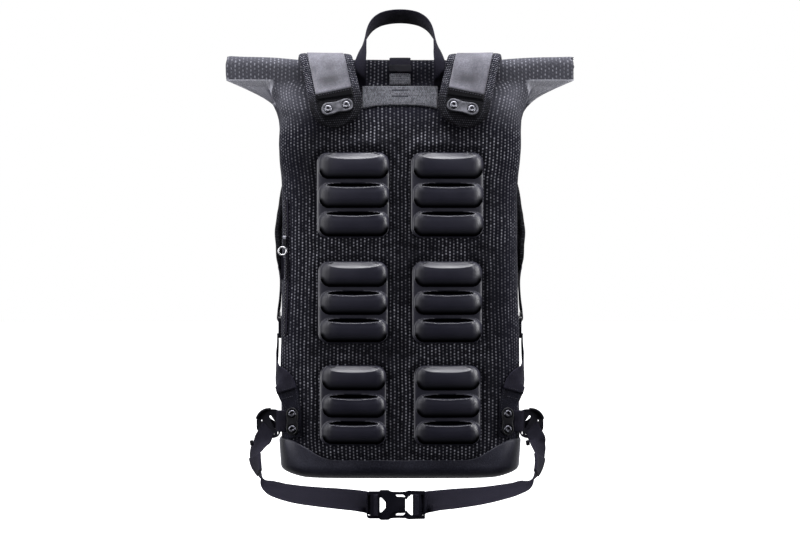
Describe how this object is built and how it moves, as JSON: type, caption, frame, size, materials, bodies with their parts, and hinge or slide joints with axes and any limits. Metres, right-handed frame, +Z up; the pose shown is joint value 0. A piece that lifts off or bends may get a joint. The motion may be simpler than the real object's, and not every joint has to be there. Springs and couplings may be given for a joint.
{
  "type": "cycling backpack",
  "caption": "Black roll-top cycling backpack with a dotted cloth, foam back pads, straps thrown over the top and a fastened waist belt.",
  "frame": {"origin": "under the middle of the carry handle's arch, on its inner face, where the bag hangs", "axes": "+Z up, -Y towards the wearer's back, +X to the right as seen from the wearer's side"},
  "size_m": [0.407, 0.1963, 0.6043],
  "materials": {
    "dotted_cloth": "matt woven cloth with rows of reflective dots",
    "coated_cloth": "smooth coated cloth",
    "foam": "smooth moulded foam",
    "yoke_cloth": "grey ribbed cloth",
    "webbing": "matt webbing",
    "spacer_mesh": "matt spacer mesh",
    "strap_cloth": "grey cloth with a soft sheen",
    "plastic": "satin moulded plastic",
    "plate_metal": "satin dark grey",
    "steel": "plain steel"
  },
  "bodies": {
    "root": {"bag_shell": "dotted_cloth", "roll_top": "dotted_cloth", "base_boot": "coated_cloth", "corner_wing_left": "coated_cloth", "corner_wing_right": "coated_cloth", "back_pad_top_left": "foam", "back_pad_middle_left": "foam", "back_pad_bottom_left": "foam", "back_pad_top_right": "foam", "back_pad_middle_right": "foam", "back_pad_bottom_right": "foam", "yoke_patch": "yoke_cloth", "carry_handle": "webbing", "closure_strap": "webbing", "strap_tail_left": "webbing", "strap_web_left": "webbing", "belt_loop_left": "webbing", "belt_web_left": "webbing", "belt_keeper_left": "webbing", "strap_tail_right": "webbing", "strap_web_right": "webbing", "belt_loop_right": "webbing", "belt_web_right": "webbing", "belt_keeper_right": "webbing", "side_zip": "webbing", "strap_pad_left": "spacer_mesh", "strap_pad_right": "spacer_mesh", "strap_face_left": "strap_cloth", "strap_face_right": "strap_cloth", "closure_slider": "plastic", "closure_buckle": "plastic", "buckle_socket": "plastic", "buckle_plug": "plastic", "strap_lock_left": "plastic", "belt_lock_left": "plastic", "strap_lock_right": "plastic", "belt_lock_right": "plastic", "pull_tab": "plastic", "strap_plate_left": "plate_metal", "wing_plate_left": "plate_metal", "strap_plate_right": "plate_metal", "wing_plate_right": "plate_metal", "strap_screw_left_a": "steel", "strap_screw_left_b": "steel", "strap_screw_right_a": "steel", "strap_screw_right_b": "steel", "wing_screw_left_a": "steel", "wing_screw_left_b": "steel", "wing_screw_right_a": "steel", "wing_screw_right_b": "steel", "zip_slider": "steel", "pull_ring": "steel"}
  },
  "joints": []
}
